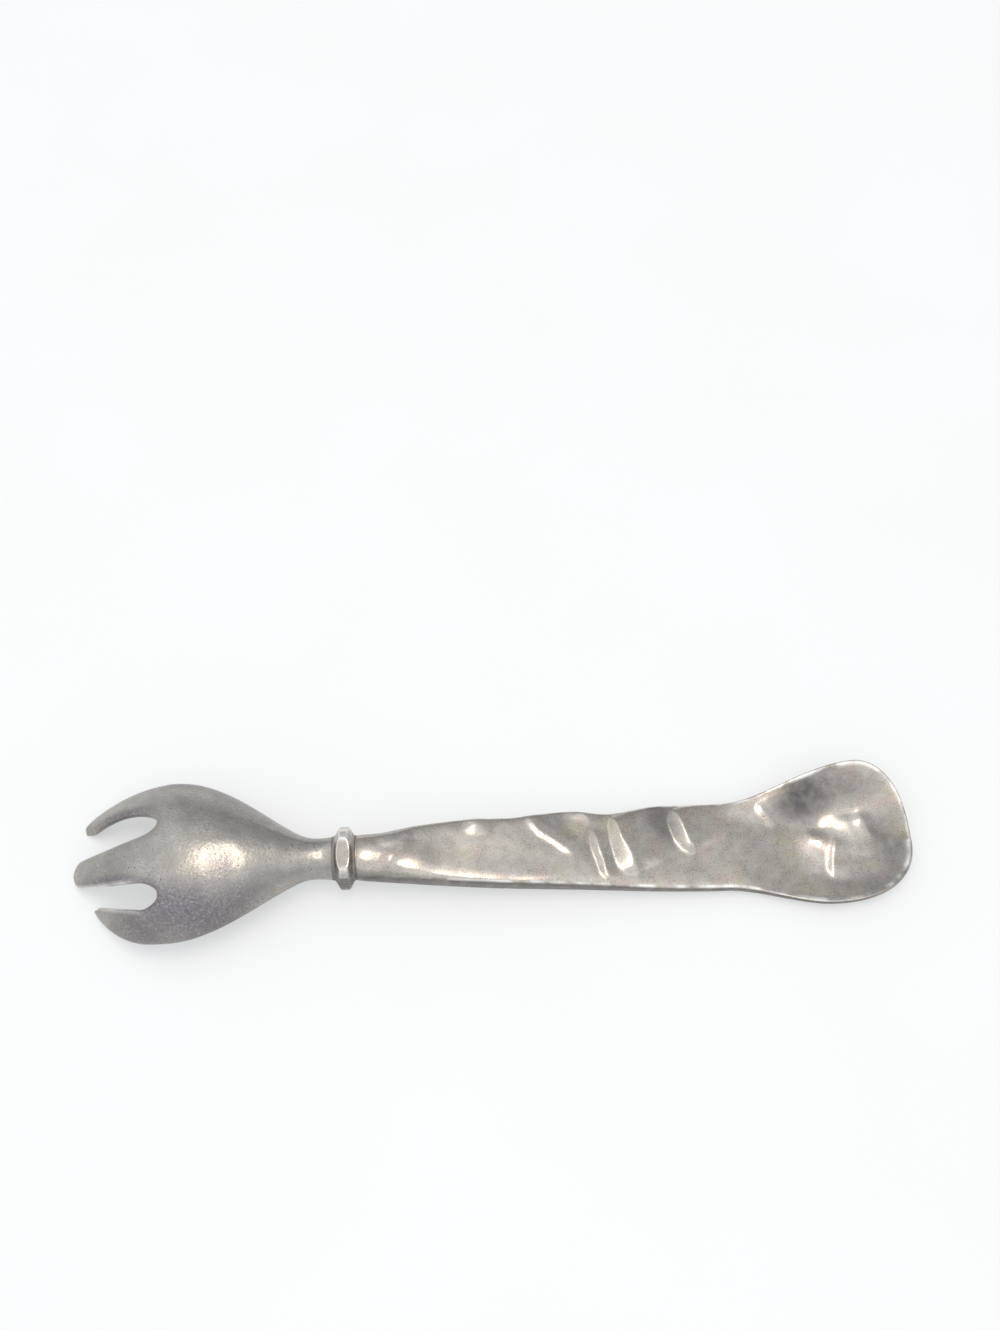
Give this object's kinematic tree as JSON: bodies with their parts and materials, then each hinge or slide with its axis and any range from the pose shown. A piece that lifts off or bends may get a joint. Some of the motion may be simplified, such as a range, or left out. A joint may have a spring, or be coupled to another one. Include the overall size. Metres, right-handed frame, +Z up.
{
  "type": "salad serving fork",
  "caption": "Cast metal salad serving fork with a domed head cut into broad tines, a faceted ring collar on a round neck, and a flat hand-beaten handle that flares into a shallow dish.",
  "frame": {"origin": "on the table, under the middle of the fork's bounding box, as it lies with the back of its head up", "axes": "+X along the fork from the tines to the dish of the handle, +Y to the side of the long outer tine, +Z up from the table"},
  "size_m": [0.267, 0.0536, 0.0243],
  "materials": {
    "aged_cast_metal": "matte, aged grey, speckled with dark tarnish",
    "beaten_metal": "hand-polished, worn satin with dark tarnish in the hollows",
    "filed_metal": "filed flats, polished on the edges, dark in the creases",
    "solder": "dull grey, hidden inside the joint"
  },
  "bodies": {
    "root": {"fork_head": "aged_cast_metal", "collar": "filed_metal", "handle": "beaten_metal", "tang_solder": "solder"}
  },
  "joints": []
}
